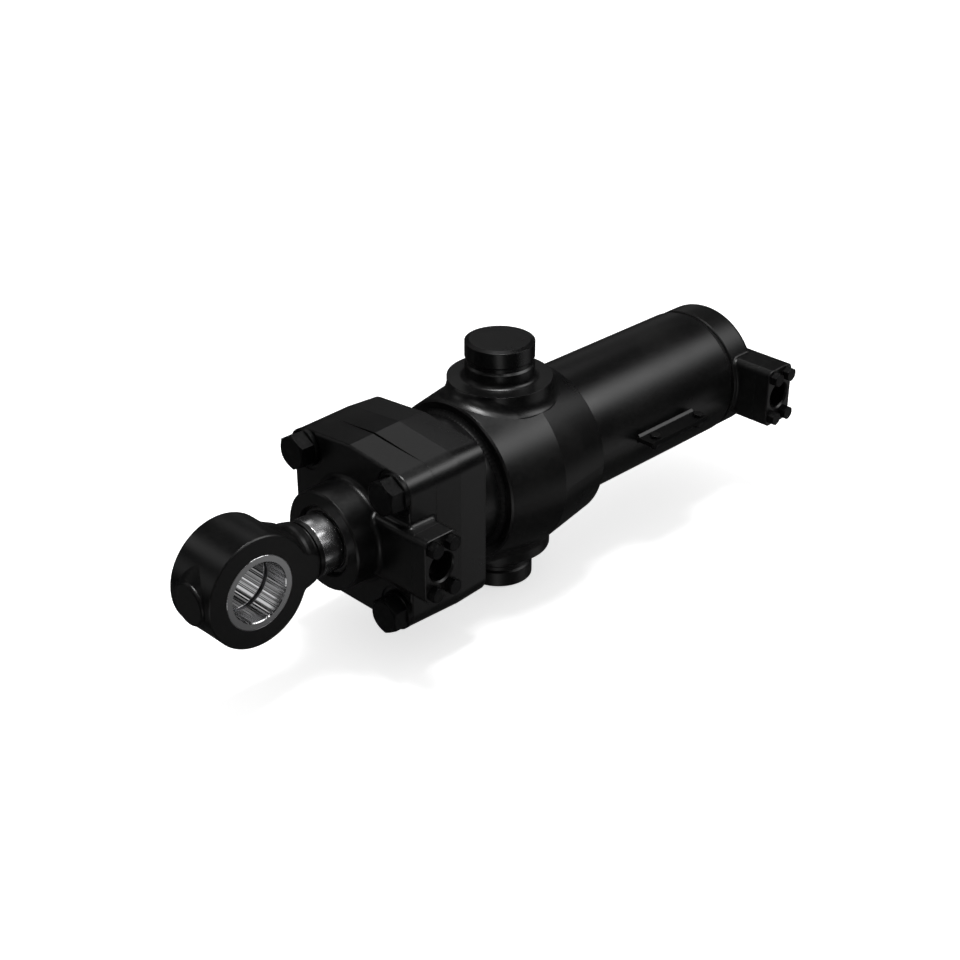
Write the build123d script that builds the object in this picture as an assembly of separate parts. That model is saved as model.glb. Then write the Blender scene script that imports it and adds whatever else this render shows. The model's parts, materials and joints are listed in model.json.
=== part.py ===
from build123d import *
import math
import os

# A double-acting, rod-eye hydraulic cylinder that swings on two trunnion pins.
# Millimetres. X runs along the cylinder towards the rod eye, Y points the way the ports
# open, and Z runs along the trunnion pins. The origin is where the pin axis meets the
# cylinder axis. Everything stands in the retracted state.

# ---- driving dimensions ----
BORE_R = 100.0            # inside of the barrel tube
TUBE_R = 120.7            # outside of the barrel tube
ROD_R = 50.0              # chromed rod
STROKE = 580.0            # the rod's travel, checked at the end against the stops
GAP = 0.3                 # clearance between parts that move past each other

# trunnion collar and pins
COLLAR_HALF = 112.5       # half its length along X
COLLAR_EDGE_R = 143.5     # its radius at both ends
COLLAR_CROWN_R = 160.0    # its radius at the middle crease
COLLAR_BRIGHT_EDGE = 3.0  # small rounding of its front rim
COLLAR_WELD = 8.0
PAD_R = 90.5              # round pad under each pin
PAD_Z = 161.0             # the pad's flat top
PAD_FLARE = 25.0          # arc where the pad's wall runs out into the crown
PIN_R = 60.0
PIN_END_Z = 228.5
PIN_CHAMFER = (8.0, 3.0)  # across the end, along the pin
PIN_GROOVE_Z = (185.0, 199.0)
PIN_GROOVE_DEPTH = 3.5
PIN_ROOT_R = 9.0          # hollow root on the pad

# square head: plate and barrel flange share one outline that is flat below and at the
# sides and rises to a ridge on top. Each section is X, ridge height, corner radius.
BOLT_PITCH = 107.5        # the four corner bolts stand at +-107.5 in Y and Z
FLANGE_REAR = (172.0, 150.0, 32.5)
FLANGE_SHOULDER = (230.0, 154.5, 35.5)
PARTING = (282.0, 152.3, 34.0)
PLATE_FRONT = (338.0, 150.0, 32.5)
PLATE_EDGE_R = 5.0        # rounding of the plate's front edge
FLANGE_WELD = 9.0
PRY_SLOT = (4.0, 99.0, 9.0)        # lens-shaped slot in the parting: width, half length, centre
PRY_SLOT_Z = 124.0        # its floor
NOSE_R = 85.8
NOSE_X = 399.5            # end of the nose round the rod
NOSE_EDGE = 3.0
ROOT_R = 10.0             # hollow roots of the nose and of the port boss

# corner bolts
BOLT_R = 18.0
BOLT_THREAD_R = 16.0
BOLT_THREAD = 80.0        # depth in the barrel flange
BOLT_AF = 55.0
HEAD_H = 26.0
WASHER_R = 33.0
WASHER_T = 8.0
SPOT_R = 40.0             # spot faces under the washers
SPOT_DEPTH = 2.0

# ports
PORT_HALF = (35.0, 57.0)  # boss and flange, half sizes in X and Z
PORT_CORNER = 13.0        # rounding of their corners
PORT_SEAM = 159.0         # where the flange meets the boss, in Y
PORT_FLANGE_T = 31.0
PORT_BORE_R = 24.5
PORT_OIL_R = 19.0         # the drilling below it
PORT_BOLTS = (18.25, 39.7)         # half pitches in X and Z
PORT_BOLT_R = 8.0
PORT_THREAD_R = 7.0
PORT_THREAD = 30.0
PORT_BOLT_AF = 24.0
PORT_HEAD_H = 13.0
PORT_RING = (27.0, 33.0, 2.8)      # O-ring groove: inner and outer radius, depth
HEAD_PORT_X = 318.0
REAR_PORT_X = -553.0
HEAD_OIL_FLOOR = 78.0     # the head's drilling stops here, above the rod
REAR_OIL_FLOOR = 40.0     # the rear one opens into the cushion chamber
OIL_WAY = (10.0, 79.0)    # radius and Y of the drilling along the gland

# rear cap
TUBE_END = -498.7         # rear end of the tube
CAP_FRONT = -511.8        # front rim of the rear cap, behind the weld groove
CAP_RIM = 2.0
CAP_R = 119.4
CAP_REAR = -590.0
CAP_BEVEL = 24.0          # 45 degree bevel round the rear end
CAP_BEVEL_R = 12.0        # rounding where it meets the end and the side
CAP_ROOT_R = 6.0          # hollow root of the rear port boss
CAP_SPIGOT = -480.0       # front face of the cap's spigot, the rod's rear stop
CAP_CHAMBER = (62.0, 80.0)         # radius and depth
CAP_WELD_R = 117.2        # crest of the weld in the groove

# gland bore, from the piston side to the nose
GLAND_SPIGOT = 184.0      # rear face of the gland's spigot, the rod's front stop
CUSHION_BORE_R = 60.5
CUSHION_END = 235.0
ROD_PASSAGE_R = 50.5
GUIDE_GROOVES = [(246.0, 268.0, 54.5), (286.0, 308.0, 54.5)]
BUFFER_GROOVE = (322.0, 334.0, 58.0)
SEAL_GROOVE = (348.0, 361.0, 58.0)
WIPER_X = (380.0, 392.5)
WIPER_R = 58.0
GLAND_GROOVE_R = 93.0
GLAND_RING_X = (214.0, 221.0)
GLAND_BACKUP_X = (221.0, 224.0)

# rod and eye
ROD_CHROME_END = 435.0
THREAD_R = 36.0           # the rod's thread into the eye
THREAD_END = 495.0
THREAD_HOLE = (36.1, 497.0)        # radius and bottom of the hole in the eye
EYE_X = 565.0
EYE_R = 94.2
EYE_HALF = 50.3           # half the width across the flat faces
EYE_EDGE = 2.0
NECK = [(443.0, 50.0), (444.0, 47.0), (449.0, 47.0), (450.0, 53.0), (462.0, 55.8), (468.0, 56.4),
        (473.0, 58.0), (478.0, 60.6), (483.0, 64.2), (512.0, 78.0), (530.0, 78.0)]
BOSS_X = 663.0            # flat end of the boss opposite the rod
BOSS_R = 32.0
BOSS_EDGE_R = 5.0
BOSS_FOOT = (635.5, 62.4)          # where its cone touches the eye
BUSH_R = 62.3
PIN_BORE_R = 50.0
BUSH_GAP = 4.0            # half the gap between the two bushes
BUSH_PROUD = 0.2
BUSH_MOUTH = 1.5
BUSH_BACK = 0.8

# piston, all behind the rod's front shoulder
PISTON_X = (-478.0, -398.0)
PISTON_R = 99.4
STUD_R = 37.0             # the rod's spigot through the piston
STUD_THREAD_R = 34.0      # the same behind the piston, in the nut
SEAL_SEAT = (-446.0, -430.0, 89.0)
WEAR_SEATS = [(-470.0, -454.0, 95.5), (-422.0, -406.0, 95.5)]
SEAL_T = 5.5              # the energiser's height under the seal
PISTON_RING = (36.0, 42.0, 4.2)    # O-ring groove in the piston's bore: from, to, depth
NUT_X = (-516.0, -478.0)
NUT_R = (52.0, 50.0)      # across the corners before and after turning
NUT_SCREW_R = 4.0
TAIL = (28.0, 26.0)       # rear cushion spear on the rod's end: radius, length
SLEEVE_R = (46.0, 58.0, 55.0)      # cushion sleeve: bore, outside, nose
SLEEVE_X = (30.0, 38.0)   # from the piston's face: end of the straight part, end

# bracket on the tube
BRACKET_X = (-383.0, -228.0)
BRACKET_Z = (-5.0, 3.0)
BRACKET_Y = 156.0
BRACKET_BOLTS = (-371.0, -251.0)
BRACKET_BOLT_Y = 143.0
BRACKET_WELD = 5.0
BRACKET_AF = 17.0


# ---- small helpers ----
def ring_x(outer, inner, x0, x1):
    """A ring or, with no inner radius, a disc about the cylinder axis."""
    outline = Polyline((x0, inner), (x1, inner), (x1, outer), (x0, outer), close=True)
    return revolve(make_face(outline), Axis.X)


def turned_x(*points):
    """A solid turned about the cylinder axis from (x, radius) points."""
    return revolve(make_face(Polyline(*points, close=True)), Axis.X)


def bar_x(radius, x0, x1, y=0.0, z=0.0):
    return Pos((x0 + x1) / 2, y, z) * Rot(0, 90, 0) * Cylinder(radius, x1 - x0)


def bar_y(radius, y0, y1, x=0.0, z=0.0):
    return Pos(x, (y0 + y1) / 2, z) * Rot(90, 0, 0) * Cylinder(radius, y1 - y0)


def bar_z(radius, z0, z1, x=0.0, y=0.0):
    return Pos(x, y, (z0 + z1) / 2) * Cylinder(radius, z1 - z0)


def box(x, y, z):
    """A box from its spans along the three axes."""
    size = [high - low for low, high in (x, y, z)]
    middle = [(low + high) / 2 for low, high in (x, y, z)]
    return Pos(*middle) * Box(*size)


def hex_prism(across_flats, height, turn=0.0):
    """A hexagon standing on z = 0 with its top corners turned off, as on a bolt head."""
    corner_r = across_flats / math.sqrt(3)
    body = extrude(RegularPolygon(corner_r, 6, rotation=turn), height)
    face_r = across_flats * 0.475
    clear_r = corner_r + 1
    drop = (clear_r - face_r) * math.tan(math.radians(30))
    cone = Polyline((0, 0), (clear_r, 0), (clear_r, height - drop), (face_r, height), (0, height), close=True)
    return body & revolve(Plane.XZ * make_face(cone), Axis.Z)


def fillet_weld(radius, x, leg, side):
    """A ring weld with a slightly hollow face, on a tube against a face at x."""
    toe = (x + side * leg, radius)
    top = (x, radius + leg)
    hollow = (x + side * leg * 0.4, radius + leg * 0.4)
    outline = [Line((x, radius), toe), ThreePointArc(toe, hollow, top), Line(top, (x, radius))]
    return revolve(make_face(outline), Axis.X)


CORNERS = [(y, z) for y in (-BOLT_PITCH, BOLT_PITCH) for z in (-BOLT_PITCH, BOLT_PITCH)]
ACROSS = Plane((0, 0, 0), x_dir=(0, 1, 0), z_dir=(1, 0, 0))   # local x and y are Y and Z


def head_section(x, ridge, corner_r):
    """The head's outline at x. The lines to the ridge touch the two upper corner arcs."""
    pitch = BOLT_PITCH
    to_ridge = math.atan2(ridge - pitch, -pitch)
    touch = to_ridge - math.acos(corner_r / math.hypot(pitch, ridge - pitch))
    diagonal = corner_r * math.sqrt(0.5)
    edges = [Line((-pitch, -pitch - corner_r), (pitch, -pitch - corner_r))]
    for side in (-1, 1):
        def rim(angle):
            return (side * (pitch + corner_r * math.cos(angle)), pitch + corner_r * math.sin(angle))
        low = (side * (pitch + corner_r), -pitch)
        foot = (side * pitch, -pitch - corner_r)
        edges.append(Line((0, ridge), rim(touch)))
        edges.append(ThreePointArc(rim(touch), rim(touch / 2), rim(0)))
        edges.append(Line(rim(0), low))
        edges.append(ThreePointArc(low, (side * (pitch + diagonal), -pitch - diagonal), foot))
    return ACROSS.offset(x) * make_face(edges)


# ---- barrel ----
def barrel_tube():
    front = PARTING[0]
    tube = ring_x(TUBE_R, BORE_R, TUBE_END, front)
    lead_in = turned_x((front - 6, BORE_R), (front, BORE_R), (front, BORE_R + 2))
    return tube - lead_in


def barrel_flange():
    """The head's other half, welded on the tube: it widens to a shoulder and narrows again behind."""
    rear, front = FLANGE_REAR[0], PARTING[0]
    block = loft([head_section(*FLANGE_SHOULDER), head_section(*PARTING)])
    block += loft([head_section(*FLANGE_REAR), head_section(*FLANGE_SHOULDER)])
    block -= bar_x(TUBE_R, rear - 1, front + 1)
    for y, z in CORNERS:
        block -= bar_x(BOLT_THREAD_R + 0.1, front - BOLT_THREAD - 6, front + 1, y, z)
    return block


def collar_welds():
    return [fillet_weld(TUBE_R, side * COLLAR_HALF, COLLAR_WELD, side) for side in (-1, 1)]


def trunnion_pin():
    """One pin on its pad, turned about Z: hollow root, grease groove and end chamfer."""
    across, along = PIN_CHAMFER
    low, high = PIN_GROOVE_Z
    depth = PIN_GROOVE_DEPTH
    root = PIN_ROOT_R
    sunk = PAD_Z - 8
    start = (PIN_R + root, PAD_Z)
    end = (PIN_R, PAD_Z + root)
    hollow = root * (1 - math.sqrt(0.5))
    outline = Polyline(end, (PIN_R, low), (PIN_R - depth, low + depth), (PIN_R - depth, high - depth),
                       (PIN_R, high), (PIN_R, PIN_END_Z - along), (PIN_R - across, PIN_END_Z), (0, PIN_END_Z),
                       (0, sunk), (PIN_R + root, sunk), start)
    edges = outline.edges() + [ThreePointArc(start, (PIN_R + hollow, PAD_Z + hollow), end)]
    return revolve(Plane.XZ * make_face(edges), Axis.Z)


def trunnion_pad():
    """The round pad, its wall flaring into the crown with an arc that touches both."""
    centre_r = PAD_R + PAD_FLARE
    centre_z = math.sqrt((COLLAR_CROWN_R + PAD_FLARE) ** 2 - centre_r ** 2)
    scale = COLLAR_CROWN_R / (COLLAR_CROWN_R + PAD_FLARE)
    foot = (centre_r * scale, centre_z * scale)
    half_angle = math.atan2(centre_z - foot[1], centre_r - foot[0]) / 2
    middle = (centre_r - PAD_FLARE * math.cos(half_angle), centre_z - PAD_FLARE * math.sin(half_angle))
    inside = PAD_R
    sides = Polyline(foot, (foot[0], inside), (0, inside), (0, PAD_Z), (PAD_R, PAD_Z), (PAD_R, centre_z))
    edges = sides.edges() + [ThreePointArc((PAD_R, centre_z), middle, foot)]
    return revolve(Plane.XZ * make_face(edges), Axis.Z)


def trunnion_collar():
    """A double-coned ring with a pad and a pin on each side, bored to slide over the tube."""
    edge = COLLAR_BRIGHT_EDGE
    body = turned_x((-COLLAR_HALF, TUBE_R), (-COLLAR_HALF, COLLAR_EDGE_R), (0, COLLAR_CROWN_R),
                    (COLLAR_HALF - edge, COLLAR_EDGE_R + 0.4), (COLLAR_HALF, COLLAR_EDGE_R - edge),
                    (COLLAR_HALF, TUBE_R))
    for turn in (0, 180):
        body += Rot(turn, 0, 0) * (trunnion_pad() + trunnion_pin())
    return body - bar_x(TUBE_R, -COLLAR_HALF - 1, COLLAR_HALF + 1)


# ---- ports ----
PORT_BOLT_SPOTS = [(x, z) for x in (-PORT_BOLTS[0], PORT_BOLTS[0]) for z in (-PORT_BOLTS[1], PORT_BOLTS[1])]
PORT_TOP = PORT_SEAM + PORT_FLANGE_T


def port_block(x, y0, y1):
    """The rounded block that a port's boss and flange share."""
    across = Plane((x, y0, 0), x_dir=(1, 0, 0), z_dir=(0, 1, 0))
    return extrude(across * RectangleRounded(2 * PORT_HALF[0], 2 * PORT_HALF[1], PORT_CORNER), y1 - y0)


def on_port_wall(point, x):
    """Whether a point lies on the side walls of the port block at x."""
    half_x, half_z = PORT_HALF
    away_x = abs(point.X - x) - half_x
    away_z = abs(point.Z) - half_z
    if max(away_x, away_z) > 0.05:
        return False
    round_x = max(away_x + PORT_CORNER, 0)
    round_z = max(away_z + PORT_CORNER, 0)
    on_corner = round_x > 0 and round_z > 0 and abs(math.hypot(round_x, round_z) - PORT_CORNER) < 0.05
    return on_corner or abs(away_x) < 0.05 or abs(away_z) < 0.05


def along(edge):
    """Five points spread over an edge."""
    return [edge.position_at(part / 4) for part in range(5)]


def port_boss_cuts(x, oil_floor):
    """The oil drilling and the four tapped holes of a port face at Y = PORT_SEAM."""
    cuts = [bar_y(PORT_OIL_R, oil_floor, PORT_SEAM + 1, x)]
    for dx, z in PORT_BOLT_SPOTS:
        cuts.append(bar_y(PORT_THREAD_R + 0.1, PORT_SEAM - PORT_THREAD - 4, PORT_SEAM + 1, x + dx, z))
    return cuts


def ring_groove_y(x, clearance):
    """The O-ring's space in a port flange, or with a clearance the ring that lies in it."""
    inner, outer, depth = PORT_RING
    return bar_y(outer - clearance, PORT_SEAM, PORT_SEAM + depth, x) - bar_y(
        inner + clearance, PORT_SEAM - 1, PORT_SEAM + depth + 1, x)


def port_flange(x):
    """The flange that clamps a hose end: bored through, chamfered, with an O-ring groove behind."""
    block = port_block(x, PORT_SEAM, PORT_TOP)
    block = chamfer(block.faces().sort_by(Axis.Y)[-1].edges(), 1.2)
    block -= bar_y(PORT_BORE_R, PORT_SEAM - 1, PORT_TOP + 1, x)
    mouth = Polyline((0, PORT_TOP - 3), (PORT_BORE_R, PORT_TOP - 3), (PORT_BORE_R + 3.2, PORT_TOP + 0.2),
                     (0, PORT_TOP + 0.2), close=True)
    block -= Pos(x, 0, 0) * revolve(make_face(mouth), Axis.Y)
    block -= ring_groove_y(x, 0)
    for dx, z in PORT_BOLT_SPOTS:
        block -= bar_y(PORT_BOLT_R + 0.8, PORT_SEAM - 1, PORT_TOP + 1, x + dx, z)
    return block


def port_bolts(x):
    """Four hexagon bolts: head on the flange, shank through it, thread in the boss."""
    bolts = []
    for dx, z in PORT_BOLT_SPOTS:
        head = Pos(x + dx, PORT_TOP, z) * Rot(-90, 0, 0) * hex_prism(PORT_BOLT_AF, PORT_HEAD_H, 30)
        shank = bar_y(PORT_BOLT_R, PORT_SEAM, PORT_TOP, x + dx, z)
        thread = bar_y(PORT_THREAD_R, PORT_SEAM - PORT_THREAD, PORT_SEAM, x + dx, z)
        bolts.append(head + shank + thread)
    return bolts


# ---- rear cap ----
def rear_cap():
    """End cap with its spigot in the tube, an oil and cushion chamber, and the rear port boss."""
    side_x = CAP_REAR + CAP_BEVEL
    outline = make_face(Polyline((CAP_REAR, 0), (CAP_REAR, CAP_R - CAP_BEVEL), (side_x, CAP_R),
                                 (CAP_FRONT - CAP_RIM, CAP_R), (CAP_FRONT, CAP_R - CAP_RIM), (CAP_FRONT, 0),
                                 close=True))
    bends = [v for v in outline.vertices() if v.Y > BORE_R / 2 and v.X < side_x + 1]
    body = revolve(fillet(bends, CAP_BEVEL_R), Axis.X)
    body += port_block(REAR_PORT_X, BORE_R / 2, PORT_SEAM)
    roots = []
    for edge in body.edges():
        points = along(edge)
        if all(on_port_wall(p, REAR_PORT_X) and BORE_R / 2 < p.Y < CAP_R + 1 for p in points):
            roots.append(edge)
    body = fillet(roots, CAP_ROOT_R)
    body += turned_x((CAP_FRONT, 0), (CAP_FRONT, BORE_R - GAP), (CAP_SPIGOT - 2, BORE_R - GAP),
                     (CAP_SPIGOT, BORE_R - GAP - 2), (CAP_SPIGOT, 0))
    radius, depth = CAP_CHAMBER
    body -= bar_x(radius, CAP_SPIGOT - depth, CAP_SPIGOT + 1)
    for cut in port_boss_cuts(REAR_PORT_X, REAR_OIL_FLOOR):
        body -= cut
    return body


def cap_weld():
    """The crowned weld in the groove between tube and cap."""
    low = CAP_WELD_R - 1
    middle = (TUBE_END + CAP_FRONT) / 2
    return turned_x((CAP_FRONT, BORE_R), (TUBE_END, BORE_R), (TUBE_END, low), (middle, CAP_WELD_R),
                    (CAP_FRONT, low))


# ---- gland ----
def gland_casting():
    """Head plate, nose and port boss in one, with hollow roots between them."""
    parting, front = PARTING[0], PLATE_FRONT[0]
    plate = loft([head_section(*PARTING), head_section(*PLATE_FRONT)])
    plate = fillet(plate.faces().sort_by(Axis.X)[-1].edges(), PLATE_EDGE_R)
    body = plate + port_block(HEAD_PORT_X, BORE_R / 2, PORT_SEAM) + ring_x(NOSE_R, 0, parting, NOSE_X)

    def on_nose(p):
        return abs(math.hypot(p.Y, p.Z) - NOSE_R) < 0.05 and front - 0.1 < p.X < NOSE_X - 1

    def on_plate(p):
        flat = BOLT_PITCH + PLATE_FRONT[2]
        return abs(p.X - front) < 0.1 or flat - PLATE_EDGE_R < p.Y < flat + 2

    roots = []
    for edge in body.edges():
        points = along(edge)
        beside = all(on_port_wall(p, HEAD_PORT_X) for p in points)
        if all(on_nose(p) for p in points) or (beside and all(on_plate(p) for p in points)):
            roots.append(edge)
    return fillet(roots, ROOT_R)


def head_gland():
    """The gland casting with its spigot, bored for the rod, its guides, seals and wiper."""
    parting, front = PARTING[0], PLATE_FRONT[0]
    body = gland_casting()
    body += turned_x((GLAND_SPIGOT, 0), (GLAND_SPIGOT, BORE_R - GAP - 2), (GLAND_SPIGOT + 2, BORE_R - GAP),
                     (parting, BORE_R - GAP), (parting, 0))
    body -= turned_x((NOSE_X - NOSE_EDGE, NOSE_R), (NOSE_X, NOSE_R - NOSE_EDGE), (NOSE_X, NOSE_R + 1),
                     (NOSE_X - NOSE_EDGE, NOSE_R + 1))
    for y, z in CORNERS:
        body -= bar_x(SPOT_R, front - SPOT_DEPTH, NOSE_X, y, z)
        body -= bar_x(BOLT_R + 1.5, parting - 1, front + 1, y, z)
    width, half_length, centre = PRY_SLOT
    lens_r = (half_length ** 2 + width ** 2) / (2 * width)
    body -= bar_z(lens_r, PRY_SLOT_Z, PRY_SLOT_Z + 40, parting + width - lens_r, centre)
    # the bore: cushion chamber, guides, two seals and the wiper's seat
    body -= bar_x(CUSHION_BORE_R, GLAND_SPIGOT - 1, CUSHION_END)
    body -= bar_x(ROD_PASSAGE_R, CUSHION_END - 1, NOSE_X + 1)
    for x0, x1, radius in GUIDE_GROOVES + [BUFFER_GROOVE, SEAL_GROOVE]:
        body -= ring_x(radius, ROD_R, x0, x1)
    mouth = WIPER_R + 3.5
    body -= turned_x((WIPER_X[0], ROD_R), (WIPER_X[0], WIPER_R), (WIPER_X[1] + 1, WIPER_R), (NOSE_X, mouth),
                     (NOSE_X + 1, mouth), (NOSE_X + 1, ROD_R))
    for x0, x1 in (GLAND_RING_X, GLAND_BACKUP_X):
        body -= ring_x(BORE_R, GLAND_GROOVE_R, x0, x1)
    # oil way from the port to the rod side of the piston
    for cut in port_boss_cuts(HEAD_PORT_X, HEAD_OIL_FLOOR):
        body -= cut
    radius, y = OIL_WAY
    return body - bar_x(radius, GLAND_SPIGOT - 1, HEAD_PORT_X, y)


def rod_guide_rings():
    return [ring_x(radius, ROD_R + GAP, x0, x1) for x0, x1, radius in GUIDE_GROOVES]


def rod_wiper():
    """Scraper ring with its lip towards the eye."""
    x0, x1 = WIPER_X
    body_end = x1 - 3
    return turned_x((x0, ROD_R + GAP), (x1, ROD_R + GAP), (x1 + 1.5, ROD_R + 1.2), (x1, ROD_R + 4.5),
                    (body_end, WIPER_R - 2), (body_end, WIPER_R), (x0, WIPER_R))


def lip_seal(groove):
    """A U-ring that opens towards the pressure, filling its groove."""
    x0, x1, radius = groove
    deep = (x1 - x0) * 0.45
    mouth = x0 + 0.5
    lip = 1.6
    inner = ROD_R + GAP
    return turned_x((mouth, inner), (x1, inner), (x1, radius), (mouth, radius), (mouth, radius - lip),
                    (x0 + deep, (inner + radius) / 2), (mouth, inner + lip))


# ---- corner bolts ----
SEAT_X = PLATE_FRONT[0] - SPOT_DEPTH


def head_bolt_washers():
    """Plain washers, with the outer edge of the front face turned off."""
    top = SEAT_X + WASHER_T
    edge = 1.5
    hole_r = BOLT_R + 0.5
    washer = turned_x((SEAT_X, hole_r), (top, hole_r), (top, WASHER_R - edge), (top - edge, WASHER_R),
                      (SEAT_X, WASHER_R))
    return [Pos(0, y, z) * washer for y, z in CORNERS]


def head_bolts():
    seat = SEAT_X + WASHER_T
    parting = PARTING[0]
    bolts = []
    for y, z in CORNERS:
        head = Pos(seat, y, z) * Rot(0, 90, 0) * hex_prism(BOLT_AF, HEAD_H)
        shank = bar_x(BOLT_R, parting, seat, y, z)
        bolts.append(head + shank + bar_x(BOLT_THREAD_R, parting - BOLT_THREAD, parting, y, z))
    return bolts


# ---- piston rod ----
def piston_rod():
    """Chromed rod: rear cushion spear and piston spigot behind, threaded stud into the eye in front."""
    rear, front = PISTON_X
    spear_r, spear = TAIL
    end = NUT_X[0] - spear
    sleeve_r = SLEEVE_R[0]
    shoulder = front + 40
    tip = 3.0
    return turned_x((end, 0), (end, spear_r - 4), (end + 6, spear_r), (NUT_X[0] - 2, spear_r),
                    (NUT_X[0] - 2, STUD_THREAD_R), (rear, STUD_THREAD_R), (rear, STUD_R), (front, STUD_R),
                    (front, sleeve_r), (shoulder, sleeve_r), (shoulder, ROD_R), (ROD_CHROME_END, ROD_R),
                    (ROD_CHROME_END, THREAD_R), (THREAD_END - tip, THREAD_R), (THREAD_END, THREAD_R - tip),
                    (THREAD_END, 0))


def eye_boss():
    """The round boss opposite the rod: flat end, rounded rim and a cone that touches the eye."""
    edge = BOSS_EDGE_R
    rim = (BOSS_X - edge, BOSS_R + edge)
    bulge = (BOSS_X - edge * (1 - math.sqrt(0.5)), BOSS_R + edge * math.sqrt(0.5))
    outline = Polyline(rim, BOSS_FOOT, (BOSS_FOOT[0], 0), (BOSS_X, 0), (BOSS_X, BOSS_R))
    return revolve(make_face(outline.edges() + [ThreePointArc((BOSS_X, BOSS_R), bulge, rim)]), Axis.X)


def rod_eye():
    """Forged eye: a bored hub, a neck that flares into it and a boss opposite, planed flat at both sides."""
    neck = turned_x((ROD_CHROME_END, 0), (ROD_CHROME_END, ROD_R), *NECK, (NECK[-1][0], 0))
    hub = bar_y(EYE_R, -EYE_HALF, EYE_HALF, EYE_X)
    hub = chamfer(hub.edges().filter_by(GeomType.CIRCLE), EYE_EDGE)
    body = (hub + neck + eye_boss()) & box((ROD_CHROME_END, BOSS_X), (-EYE_HALF, EYE_HALF), (-EYE_R, EYE_R))
    body -= bar_y(BUSH_R, -EYE_HALF - 1, EYE_HALF + 1, EYE_X)
    radius, bottom = THREAD_HOLE
    return body - bar_x(radius, ROD_CHROME_END - 1, bottom)


def eye_bush(side):
    """Half of the split steel bush, chamfered at its outer mouth."""
    outer_end = EYE_HALF + BUSH_PROUD
    ease = 0.5
    outline = Polyline((PIN_BORE_R, BUSH_GAP + ease), (PIN_BORE_R, outer_end - BUSH_MOUTH),
                       (PIN_BORE_R + BUSH_MOUTH, outer_end), (BUSH_R - BUSH_BACK, outer_end),
                       (BUSH_R, outer_end - BUSH_BACK), (BUSH_R, BUSH_GAP), (PIN_BORE_R + ease, BUSH_GAP),
                       close=True)
    half = Pos(EYE_X, 0, 0) * revolve(make_face(outline), Axis.Y)
    return half if side > 0 else mirror(half, Plane.XZ)


# ---- piston ----
def piston():
    rear, front = PISTON_X
    start, end, depth = PISTON_RING
    body = ring_x(PISTON_R, STUD_R, rear, front)
    body -= ring_x(STUD_R + depth, STUD_R, rear + start, rear + end)
    for x0, x1, radius in [SEAL_SEAT] + WEAR_SEATS:
        body -= ring_x(PISTON_R + 1, radius, x0, x1)
    return body


def piston_o_ring():
    start, end, depth = PISTON_RING
    x0 = PISTON_X[0] + start + 0.2
    x1 = PISTON_X[0] + end - 0.2
    return ring_x(STUD_R + depth - 0.1, STUD_R + 0.05, x0, x1)


def piston_seal():
    x0, x1, radius = SEAL_SEAT
    return ring_x(BORE_R - GAP, radius + SEAL_T + 0.1, x0 + GAP, x1 - GAP)


def piston_seal_energiser():
    x0, x1, radius = SEAL_SEAT
    inset = 3.0
    return ring_x(radius + SEAL_T, radius + GAP, x0 + inset, x1 - inset)


def piston_wear_rings():
    return [ring_x(BORE_R - GAP, radius + GAP, x0 + GAP, x1 - GAP) for x0, x1, radius in WEAR_SEATS]


def piston_nut():
    """Round-cornered hexagon nut behind the piston, with a set screw across it."""
    rear, front = NUT_X
    corner_r, turned_r = NUT_R
    nut = Pos(rear, 0, 0) * Rot(0, 90, 0) * extrude(RegularPolygon(corner_r, 6), front - rear)
    nut &= ring_x(turned_r, 0, rear, front)
    nut -= bar_x(STUD_THREAD_R, rear - 1, front + 1)
    return nut - bar_z(NUT_SCREW_R, STUD_THREAD_R - 10, corner_r + 5, (rear + front) / 2)


def nut_set_screw():
    return bar_z(NUT_SCREW_R - 0.05, STUD_THREAD_R + 0.2, STUD_R + 4, (NUT_X[0] + NUT_X[1]) / 2)


def cushion_sleeve():
    """Front cushion sleeve on the rod, in front of the piston."""
    front = PISTON_X[1]
    bore_r, outer_r, nose_r = SLEEVE_R
    straight, end = SLEEVE_X
    return turned_x((front, bore_r), (front, outer_r), (front + straight, outer_r), (front + end, nose_r),
                    (front + end, bore_r))


# ---- bracket on the tube ----
def bracket_plate():
    """A flat tab welded along the tube, for clamping a pipe or a sensor."""
    x0, x1 = BRACKET_X
    z0, z1 = BRACKET_Z
    tab = box((x0, x1), (BORE_R, BRACKET_Y), (z0, z1)) - bar_x(TUBE_R, x0 - 1, x1 + 1)
    for x in BRACKET_BOLTS:
        tab -= bar_z(5.4, z0 - 1, z1 + 1, x, BRACKET_BOLT_Y)
    return tab


def bracket_welds():
    x0, x1 = BRACKET_X
    leg = BRACKET_WELD
    base = TUBE_R - 3
    welds = []
    for z, side in ((BRACKET_Z[1], 1), (BRACKET_Z[0], -1)):
        toe = z + side * leg
        outline = Polyline((base, z), (TUBE_R + leg, z), (TUBE_R - 0.6, toe), (base, toe), close=True)
        bar = extrude(ACROSS.offset(x0 + 2) * make_face(outline), x1 - x0 - 4)
        welds.append(bar - bar_x(TUBE_R, x0, x1))
    return welds


def bracket_bolts():
    """Two small hexagon bolts through the tab."""
    z0, z1 = BRACKET_Z
    bolts = []
    for x in BRACKET_BOLTS:
        head = Pos(x, BRACKET_BOLT_Y, z1) * hex_prism(BRACKET_AF, 6.4)
        bolts.append(head + bar_z(5.0, z0 - 14, z1, x, BRACKET_BOLT_Y))
    return bolts


def bracket_nuts():
    z0 = BRACKET_Z[0]
    nuts = []
    for x in BRACKET_BOLTS:
        nut = Pos(x, BRACKET_BOLT_Y, z0) * Rot(180, 0, 0) * hex_prism(BRACKET_AF, 8.0)
        nuts.append(nut - bar_z(5.05, z0 - 20, z0 + 1, x, BRACKET_BOLT_Y))
    return nuts


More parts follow.
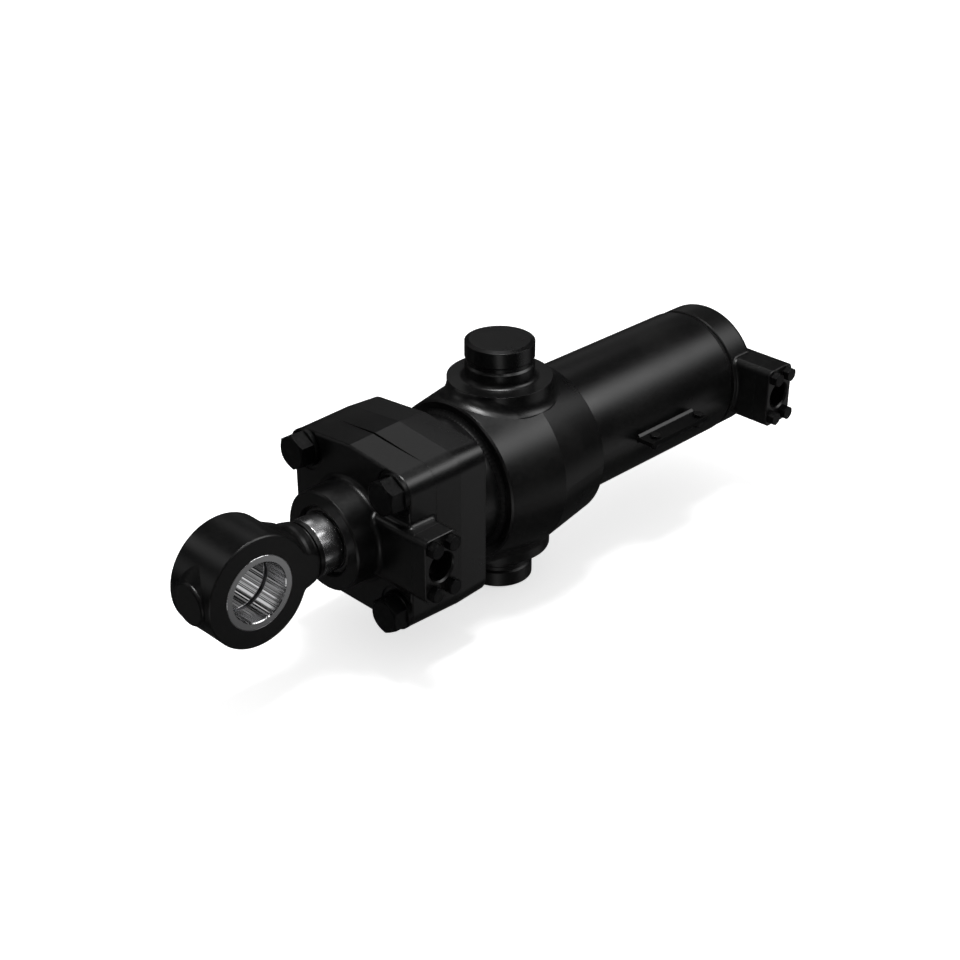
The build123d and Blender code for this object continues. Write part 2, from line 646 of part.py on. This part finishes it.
NODES = {
    "barrel_tube": barrel_tube(),
    "barrel_flange": barrel_flange(),
    "flange_weld": fillet_weld(TUBE_R, FLANGE_REAR[0], FLANGE_WELD, -1),
    "trunnion_collar": trunnion_collar(),
    "collar_welds": collar_welds(),
    "rear_cap": rear_cap(),
    "cap_weld": cap_weld(),
    "head_gland": head_gland(),
    "head_bolt_washers": head_bolt_washers(),
    "head_bolts": head_bolts(),
    "head_port_flange": port_flange(HEAD_PORT_X),
    "head_port_bolts": port_bolts(HEAD_PORT_X),
    "head_port_o_ring": ring_groove_y(HEAD_PORT_X, 0.1),
    "rear_port_flange": port_flange(REAR_PORT_X),
    "rear_port_bolts": port_bolts(REAR_PORT_X),
    "rear_port_o_ring": ring_groove_y(REAR_PORT_X, 0.1),
    "rod_wiper": rod_wiper(),
    "rod_seal": lip_seal(SEAL_GROOVE),
    "rod_buffer_seal": lip_seal(BUFFER_GROOVE),
    "rod_guide_rings": rod_guide_rings(),
    "gland_o_ring": ring_x(BORE_R, GLAND_GROOVE_R, *GLAND_RING_X),
    "gland_backup_ring": ring_x(BORE_R, GLAND_GROOVE_R, *GLAND_BACKUP_X),
    "bracket_plate": bracket_plate(),
    "bracket_welds": bracket_welds(),
    "bracket_bolts": bracket_bolts(),
    "bracket_nuts": bracket_nuts(),
    "piston_rod": piston_rod(),
    "rod_eye": rod_eye(),
    "eye_bush_port_side": eye_bush(1),
    "eye_bush_far_side": eye_bush(-1),
    "piston": piston(),
    "piston_o_ring": piston_o_ring(),
    "piston_nut": piston_nut(),
    "nut_set_screw": nut_set_screw(),
    "cushion_sleeve": cushion_sleeve(),
    "piston_seal": piston_seal(),
    "piston_seal_energiser": piston_seal_energiser(),
    "piston_wear_rings": piston_wear_rings(),
}

assert PISTON_X[1] + STROKE < GLAND_SPIGOT
os.makedirs("parts", exist_ok=True)
for name, shape in NODES.items():
    solids = shape if isinstance(shape, list) else [shape]
    export_step(Compound(children=[s for part in solids for s in part.solids()]), f"parts/{name}.step")
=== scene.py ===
import json
import math
import bpy
from mathutils import Matrix, Vector


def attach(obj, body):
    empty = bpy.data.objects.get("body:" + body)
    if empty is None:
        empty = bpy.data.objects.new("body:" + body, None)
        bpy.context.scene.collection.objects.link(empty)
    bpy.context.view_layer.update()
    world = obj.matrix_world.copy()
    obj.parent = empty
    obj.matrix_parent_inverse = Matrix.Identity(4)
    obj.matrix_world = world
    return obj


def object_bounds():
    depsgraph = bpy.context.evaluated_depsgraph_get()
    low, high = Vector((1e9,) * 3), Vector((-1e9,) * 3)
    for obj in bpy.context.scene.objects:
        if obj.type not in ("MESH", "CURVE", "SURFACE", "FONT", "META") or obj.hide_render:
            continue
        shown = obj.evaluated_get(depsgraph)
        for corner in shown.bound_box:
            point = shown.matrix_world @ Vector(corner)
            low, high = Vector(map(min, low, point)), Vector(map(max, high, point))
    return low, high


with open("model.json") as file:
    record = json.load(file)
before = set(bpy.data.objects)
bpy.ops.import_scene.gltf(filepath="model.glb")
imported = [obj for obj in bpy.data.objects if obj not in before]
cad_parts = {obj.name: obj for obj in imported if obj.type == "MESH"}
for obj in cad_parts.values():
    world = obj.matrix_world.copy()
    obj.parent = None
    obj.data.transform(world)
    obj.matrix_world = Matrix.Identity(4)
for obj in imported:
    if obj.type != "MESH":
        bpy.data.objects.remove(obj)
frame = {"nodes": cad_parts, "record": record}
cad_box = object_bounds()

NODES = frame["nodes"]

# ---- camera: long lens, from the rod-eye side and above ----
AZIMUTH, ELEVATION = math.radians(135.334), math.radians(28.808)
DISTANCE = 2.8976
LENS, SENSOR = 62.35, 36.0
# where the frame's origin falls, right and up of the view's centre, as a share of the distance
ORIGIN_OFFSET = (0.01147, 0.01293)


def place_camera():
    back = Vector((math.sin(AZIMUTH) * math.cos(ELEVATION), -math.cos(AZIMUTH) * math.cos(ELEVATION),
                   math.sin(ELEVATION)))
    right = Vector((math.cos(AZIMUTH), math.sin(AZIMUTH), 0))
    up = back.cross(right)
    data = bpy.data.cameras.new("camera")
    data.lens, data.sensor_width = LENS, SENSOR
    camera = bpy.data.objects.new("camera", data)
    bpy.context.scene.collection.objects.link(camera)
    across, above = ORIGIN_OFFSET
    spot = DISTANCE * (back - across * right - above * up)
    camera.matrix_world = Matrix.Translation(spot) @ Matrix((right, up, back)).transposed().to_4x4()
    bpy.context.scene.camera = camera


place_camera()


# ---- node helpers ----
class Surface:
    """A material with its principled shader and short ways to add nodes to it."""

    def __init__(self, name, base, roughness, metallic=0.0):
        self.material = bpy.data.materials.new(name)
        self.material.use_nodes = True
        self.tree = self.material.node_tree
        self.shader = self.tree.nodes["Principled BSDF"]
        self.shader.inputs["Base Color"].default_value = (*base, 1)
        self.shader.inputs["Roughness"].default_value = roughness
        self.shader.inputs["Metallic"].default_value = metallic
        self.place = self.add("ShaderNodeTexCoord").outputs["Object"]

    def add(self, kind, inputs=None, **settings):
        made = self.tree.nodes.new(kind)
        for key, value in settings.items():
            setattr(made, key, value)
        for key, value in (inputs or {}).items():
            if isinstance(value, bpy.types.NodeSocket):
                self.tree.links.new(value, made.inputs[key])
            else:
                made.inputs[key].default_value = value
        return made

    def feed(self, socket, value):
        self.tree.links.new(value, self.shader.inputs[socket])

    def stretched(self, scale):
        return self.add("ShaderNodeMapping", {"Vector": self.place, "Scale": scale}).outputs["Vector"]

    def noise(self, scale, detail, vector=None):
        inputs = {"Vector": vector or self.place, "Scale": scale, "Detail": detail}
        return self.add("ShaderNodeTexNoise", inputs).outputs["Fac"]

    def remap(self, value, low, high, to_low, to_high):
        inputs = {"Value": value, "From Min": low, "From Max": high, "To Min": to_low, "To Max": to_high}
        return self.add("ShaderNodeMapRange", inputs).outputs["Result"]

    def maths(self, operation, a, b=0.0):
        return self.add("ShaderNodeMath", {0: a, 1: b}, operation=operation).outputs["Value"]

    def mix(self, fac, first, second):
        """A blend of two colours; the first may be another node's output."""
        if not isinstance(first, bpy.types.NodeSocket):
            first = (*first, 1)
        inputs = {"Fac": fac, "Color1": first, "Color2": (*second, 1)}
        return self.add("ShaderNodeMixRGB", inputs).outputs["Color"]

    def vector_maths(self, operation, a, b, output="Vector"):
        return self.add("ShaderNodeVectorMath", {0: a, 1: b}, operation=operation).outputs[output]

    def angle(self, across, up, centre=(0, 0, 0)):
        """The angle round an axis through the centre, from two of the coordinates X, Y and Z."""
        shifted = self.vector_maths("SUBTRACT", self.place, centre)
        parts = self.add("ShaderNodeSeparateXYZ", {"Vector": shifted}).outputs
        return self.maths("ARCTAN2", parts[across], parts[up])

    def within_bore(self, centre, radius):
        """One inside the radius of an axis that runs along Y through the centre, and nothing outside it."""
        shifted = self.vector_maths("SUBTRACT", self.place, centre)
        across = self.vector_maths("MULTIPLY", shifted, (1, 0, 1))
        reach = self.vector_maths("LENGTH", across, (0, 0, 0), "Value")
        return self.maths("LESS_THAN", reach, radius)

    def rounded(self, radius):
        """A normal that eases the sharp edges over a small radius."""
        return self.add("ShaderNodeBevel", {"Radius": radius}, samples=4).outputs["Normal"]

    def bump(self, height, distance, strength, normal=None):
        inputs = {"Height": height, "Distance": distance, "Strength": strength}
        if normal:
            inputs["Normal"] = normal
        return self.add("ShaderNodeBump", inputs).outputs["Normal"]


EYE_CENTRE = (0.565, 0, 0)
BARE_BORE_R = 0.0624        # a hair over the outside of the eye's bushes
BARE_STEEL = (0.6, 0.6, 0.61)
BLACK, DUSTY = (0.0011, 0.0011, 0.0012), (0.0034, 0.0033, 0.0032)


def paint(name, peel=1.0, ripple=0.0, edge=0.0012, rough=(0.27, 0.36), ior=1.5, bare=0.0):
    """Satin black enamel: orange peel, cloudy gloss, a breath of dust, and on welds the bead's ripples.

    Within the radius "bare" of the eye's axis the steel has no paint on it."""
    s = Surface(name, BLACK, 0.32)
    cloud = s.noise(7.0, 5.0)
    fine = s.noise(160.0, 4.0)
    colour = s.mix(s.remap(s.maths("MULTIPLY", cloud, fine), 0.2, 0.42, 0.0, 1.0), BLACK, DUSTY)
    if bare:
        inside = s.within_bore(EYE_CENTRE, bare)
        colour = s.mix(inside, colour, BARE_STEEL)
        s.feed("Metallic", inside)
    s.feed("Base Color", colour)
    s.feed("Roughness", s.remap(s.maths("ADD", cloud, s.maths("MULTIPLY", fine, 0.35)), 0.45, 0.85, *rough))
    normal = s.rounded(edge)
    if ripple:
        turn = s.angle("Y", "Z")
        wobble = s.maths("MULTIPLY", s.noise(30.0, 2.0), 5.0)
        wave = s.maths("SINE", s.maths("ADD", s.maths("MULTIPLY", turn, ripple), wobble))
        normal = s.bump(wave, 0.0004, 0.25, normal)
    s.feed("Normal", s.bump(s.noise(520.0, 1.5), 0.00012 * peel, 0.55, normal))
    s.shader.inputs["IOR"].default_value = ior
    return s.material


def fastener():
    """Painted steel heads: a thinner coat than the casting, rubbed a little at random."""
    s = Surface("black_fasteners", (0.002, 0.002, 0.002), 0.36)
    rub = s.remap(s.noise(90.0, 6.0), 0.6, 0.72, 0.0, 1.0)
    s.feed("Base Color", s.mix(rub, (0.0012, 0.0012, 0.0013), (0.0065, 0.0063, 0.0060)))
    s.feed("Roughness", s.remap(s.noise(220.0, 3.0), 0.3, 0.7, 0.28, 0.42))
    s.feed("Normal", s.bump(s.noise(700.0, 2.0), 0.0001, 0.5, s.rounded(0.0009)))
    s.shader.inputs["IOR"].default_value = 1.3
    return s.material


def chrome():
    """Ground and polished hard chrome with a hair of circumferential grinding and an oily haze."""
    s = Surface("hard_chrome", (0.8, 0.8, 0.81), 0.2, 1.0)
    grind = s.noise(1.0, 3.0, s.stretched((2600.0, 14.0, 14.0)))
    haze = s.noise(11.0, 4.0)
    s.feed("Base Color", s.mix(haze, (0.76, 0.76, 0.775), (0.86, 0.86, 0.865)))
    s.feed("Roughness", s.remap(s.maths("ADD", haze, s.maths("MULTIPLY", grind, 0.3)), 0.4, 0.9, 0.2, 0.3))
    s.feed("Normal", s.bump(grind, 0.000008, 0.15, s.rounded(0.002)))
    return s.material


def turned_steel(name, axis, centre=(0, 0, 0), streaks=0.0):
    """Bright machined steel with tool lines round its axis; streaks add honing bands along the bore."""
    s = Surface(name, (0.62, 0.62, 0.63), 0.16, 1.0)
    scale = [3.0, 3.0, 3.0]
    scale["XYZ".index(axis)] = 2400.0
    lines = s.noise(1.0, 3.0, s.stretched(scale))
    tone = s.noise(24.0, 4.0)
    s.feed("Base Color", s.mix(tone, (0.55, 0.55, 0.56), (0.68, 0.68, 0.69)))
    s.feed("Roughness", s.remap(s.maths("ADD", tone, lines), 0.7, 1.3, 0.08, 0.2))
    normal = s.rounded(0.0006)
    if streaks:
        around = s.add("ShaderNodeCombineXYZ", {"X": s.angle("X", "Z", centre)}).outputs["Vector"]
        facing = s.add("ShaderNodeTexCoord").outputs["Normal"]
        facing = s.add("ShaderNodeSeparateXYZ", {"Vector": facing}).outputs[axis]
        in_bore = s.maths("SUBTRACT", 1.0, s.maths("MULTIPLY", facing, facing))
        height = s.maths("MULTIPLY", s.noise(streaks, 1.0, around), in_bore)
        normal = s.bump(height, 0.005, 0.6, normal)
    s.feed("Normal", s.bump(lines, 0.00002, 0.2, normal))
    return s.material


def rubber():
    """Matt moulded rubber with a fine grain."""
    s = Surface("nitrile_rubber", (0.012, 0.012, 0.012), 0.6)
    s.feed("Base Color", s.mix(s.noise(60.0, 3.0), (0.008, 0.008, 0.008), (0.02, 0.0195, 0.019)))
    s.feed("Roughness", s.remap(s.noise(300.0, 2.0), 0.3, 0.7, 0.5, 0.7))
    s.feed("Normal", s.bump(s.noise(900.0, 2.0), 0.0001, 0.5))
    return s.material


def filled_ptfe():
    """Bronze-filled plastic: a dull brown with metal specks."""
    s = Surface("filled_ptfe", (0.16, 0.12, 0.08), 0.5)
    speck = s.remap(s.noise(1500.0, 2.0), 0.55, 0.65, 0.0, 1.0)
    s.feed("Base Color", s.mix(speck, (0.13, 0.10, 0.065), (0.30, 0.22, 0.13)))
    s.feed("Roughness", s.remap(s.noise(200.0, 2.0), 0.3, 0.7, 0.4, 0.6))
    s.feed("Normal", s.bump(speck, 0.00004, 0.4))
    return s.material


PAINT = paint("black_paint")
WELD = paint("painted_weld", peel=0.6, ripple=110.0, edge=0.0004, rough=(0.4, 0.5), ior=1.3)
EYE = paint("painted_eye", bare=BARE_BORE_R)
BRACKET = paint("painted_bracket", peel=0.6, rough=(0.5, 0.62), ior=1.2)
BUSH = turned_steel("eye_bush_steel", "Y", EYE_CENTRE, streaks=7.0)
BY_SLOT = {
    "black_paint": PAINT,
    "black_oxide": fastener(),
    "hard_chrome": chrome(),
    "machined_steel": turned_steel("machined_steel", "X"),
    "nitrile_rubber": rubber(),
    "filled_ptfe": filled_ptfe(),
}
BY_NODE = {
    "flange_weld": WELD, "collar_welds": WELD, "cap_weld": WELD,
    "eye_bush_port_side": BUSH, "eye_bush_far_side": BUSH,
    "rod_eye": EYE, "bracket_plate": BRACKET,
}
for part in frame["record"]["subparts"]:
    mesh = NODES[part["node"]].data
    mesh.materials.clear()
    mesh.materials.append(BY_NODE.get(part["node"]) or BY_SLOT[part["material_slot"]])


# ---- the rolled blend between each trunnion pad and the collar's double cone ----
PAD_R, PAD_TOP = 0.0905, 0.161
CROWN_R, CONE_SLOPE, COLLAR_HALF = 0.160, 0.0165 / 0.1125, 0.1125
BLEND_R = 0.025
AROUND, STEPS = 144, 10     # faces round the pad, and across the blend
SINK = 0.0002               # how far the blend's edges and its top stay under the steel beside them
INSET = 0.0003              # how far it stays inside the collar's end faces


def pad_blend(name, side):
    """The surface a ball leaves when it rolls round the pad's wall and on the cones."""
    lean = math.atan(CONE_SLOPE)
    points = []
    for turn in range(AROUND):
        phi = math.tau * turn / AROUND
        x = (PAD_R + BLEND_R) * math.cos(phi)
        y = (PAD_R + BLEND_R) * math.sin(phi)
        if abs(x) < BLEND_R * math.sin(lean):
            reach = CROWN_R + math.sqrt(BLEND_R ** 2 - x ** 2)
            foot_x = 0.0
        else:
            reach = CROWN_R - CONE_SLOPE * abs(x) + BLEND_R / math.cos(lean)
            foot_x = x - math.copysign(BLEND_R * math.sin(lean), x)
        z = math.sqrt(reach ** 2 - y ** 2)
        foot_reach = reach - math.sqrt(BLEND_R ** 2 - (x - foot_x) ** 2)
        centre = Vector((x, y, z))
        to_wall = Vector((-math.cos(phi), -math.sin(phi), 0))
        to_cone = (Vector((foot_x, y * foot_reach / reach, z * foot_reach / reach)) - centre).normalized()
        for step in range(STEPS + 1):
            direction = to_wall.slerp(to_cone, step / STEPS)
            depth = BLEND_R + (SINK if step in (0, STEPS) else 0)
            spot = centre + direction * depth
            if spot.z > PAD_TOP - SINK:
                spot = Vector((PAD_R * math.cos(phi), PAD_R * math.sin(phi), PAD_TOP - SINK))
            spot.x = max(-COLLAR_HALF + INSET, min(COLLAR_HALF - INSET, spot.x))
            points.append((spot.x, spot.y, side * spot.z))
    row = STEPS + 1
    faces = []
    for turn in range(AROUND):
        ahead = (turn + 1) % AROUND
        for step in range(STEPS):
            near, far = turn * row + step, ahead * row + step
            faces.append([near, far, far + 1, near + 1][::-side])
    mesh = bpy.data.meshes.new(name)
    mesh.from_pydata(points, [], faces)
    mesh.shade_smooth()
    mesh.materials.append(PAINT)
    piece = bpy.data.objects.new(name, mesh)
    bpy.context.scene.collection.objects.link(piece)
    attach(piece, "barrel")


pad_blend("upper_pad_blend", 1)
pad_blend("lower_pad_blend", -1)


# ---- floor, backdrop and light ----
CARD_DISTANCE = 6.0
FLOOR_REACH, FLOOR_GLOW = 30.0, 0.62
SHELL_RADIUS, SHELL_GLOW = 28.0, 1.05
SKY_ENERGY, SKY_SPREAD = 1.75, math.radians(150)
WORLD_GLOW = 0.028


def rectangle(name, half_wide, half_high, z=0.0):
    mesh = bpy.data.meshes.new(name)
    corners = [(-half_wide, -half_high, z), (half_wide, -half_high, z),
               (half_wide, half_high, z), (-half_wide, half_high, z)]
    mesh.from_pydata(corners, [], [(0, 1, 2, 3)])
    return mesh


def face_origin(thing, spot):
    """Puts a lamp or card at a spot, turned to the frame's origin."""
    thing.location = spot
    thing.rotation_euler = (-Vector(spot)).to_track_quat("-Z", "Y").to_euler()
    bpy.context.scene.collection.objects.link(thing)


def area_light(name, direction, distance, size, power):
    """A soft round lamp."""
    data = bpy.data.lights.new(name, "AREA")
    data.shape = "DISK"
    data.size = size
    data.energy = power
    face_origin(bpy.data.objects.new(name, data), Vector(direction).normalized() * distance)


def reflector(name, direction, size, strength):
    """A glowing card that only reflections show, fading towards its edge."""
    wide, high = size[0] / 2, size[1] / 2
    mesh = rectangle(name, wide, high)
    glow = bpy.data.materials.new(name)
    glow.use_nodes = True
    tree = glow.node_tree
    tree.nodes.clear()
    spot = tree.nodes.new("ShaderNodeTexCoord").outputs["Object"]
    shrink = tree.nodes.new("ShaderNodeMapping")
    shrink.inputs["Scale"].default_value = (1 / wide, 1 / high, 1)
    fade = tree.nodes.new("ShaderNodeTexGradient")
    fade.gradient_type = "SPHERICAL"
    soften = tree.nodes.new("ShaderNodeMapRange")
    soften.interpolation_type = "SMOOTHSTEP"
    soften.inputs["To Max"].default_value = strength
    shine = tree.nodes.new("ShaderNodeEmission")
    out = tree.nodes.new("ShaderNodeOutputMaterial")
    for source, target in ((spot, shrink.inputs["Vector"]), (shrink.outputs["Vector"], fade.inputs["Vector"]),
                           (fade.outputs["Fac"], soften.inputs["Value"]),
                           (soften.outputs["Result"], shine.inputs["Strength"]),
                           (shine.outputs["Emission"], out.inputs["Surface"])):
        tree.links.new(source, target)
    glow.cycles.emission_sampling = "NONE"
    mesh.materials.append(glow)
    card = bpy.data.objects.new(name, mesh)
    card.visible_camera = card.visible_diffuse = card.visible_shadow = False
    face_origin(card, Vector(direction).normalized() * CARD_DISTANCE)


def pale_surface(name, glow):
    """Matt near-white with a faint unevenness and a glow of its own."""
    s = Surface(name, (0.9, 0.9, 0.9), 0.9)
    s.feed("Base Color", s.mix(s.noise(3.0, 4.0), (0.88, 0.88, 0.88), (0.92, 0.92, 0.92)))
    s.shader.inputs["Emission Color"].default_value = (1, 1, 1, 1)
    s.shader.inputs["Emission Strength"].default_value = glow
    return s.material


def place_floor():
    """A pale floor at the height of the CAD's lowest point, which reflections don't show."""
    mesh = rectangle("floor", FLOOR_REACH, FLOOR_REACH, cad_box[0].z)
    floor = bpy.data.objects.new("floor", mesh)
    bpy.context.scene.collection.objects.link(floor)
    mesh.materials.append(pale_surface("floor", FLOOR_GLOW))
    floor.visible_glossy = False


def place_backdrop():
    """A white shell behind everything that only the camera sees."""
    bpy.ops.mesh.primitive_uv_sphere_add(radius=SHELL_RADIUS, segments=48, ring_count=24)
    shell = bpy.context.object
    shell.name = "backdrop"
    shell.data.materials.append(pale_surface("backdrop", SHELL_GLOW))
    shell.visible_diffuse = shell.visible_glossy = shell.visible_shadow = False


def place_sky():
    """A very wide sun from straight above, for even light with a faint shadow."""
    sun = bpy.data.lights.new("sky_light", "SUN")
    sun.energy, sun.angle = SKY_ENERGY, SKY_SPREAD
    sky = bpy.data.objects.new("sky_light", sun)
    sky.visible_glossy = False
    bpy.context.scene.collection.objects.link(sky)


place_floor()
place_backdrop()
place_sky()
area_light("overhead", (0.02, 0.02, 1.0), 3.2, 1.2, 75)
reflector("behind_left", (-0.50, -0.56, 0.70), (5.0, 3.6), 0.8)
reflector("behind_low", (-0.74, -0.64, 0.18), (6.5, 3.0), 0.17)
reflector("behind_right", (-0.52, 0.53, 0.67), (8.8, 4.2), 4.3)
reflector("right", (-0.62, 0.65, -0.40), (8.0, 4.6), 0.40)
reflector("left", (0.75, -0.62, 0.16), (6.0, 4.0), 0.40)
reflector("left_low", (0.62, -0.62, -0.48), (7.0, 4.0), 0.09)
reflector("front_left_high", (0.42, -0.66, 0.62), (3.6, 3.0), 1.1)
reflector("front_high", (0.75, 0.20, 0.63), (4.6, 3.0), 1.4)
reflector("front_low", (0.68, 0.60, -0.42), (4.6, 3.0), 1.3)
reflector("above_right", (0.05, 0.48, 0.87), (2.6, 1.8), 5.0)
reflector("near_side", (0.70, 0.70, 0.10), (5.0, 1.6), 0.35)

world = bpy.data.worlds.new("studio")
world.use_nodes = True
background = world.node_tree.nodes["Background"]
background.inputs["Color"].default_value = (1, 1, 1, 1)
background.inputs["Strength"].default_value = WORLD_GLOW
bpy.context.scene.world = world
bpy.context.scene.view_settings.view_transform = "Standard"
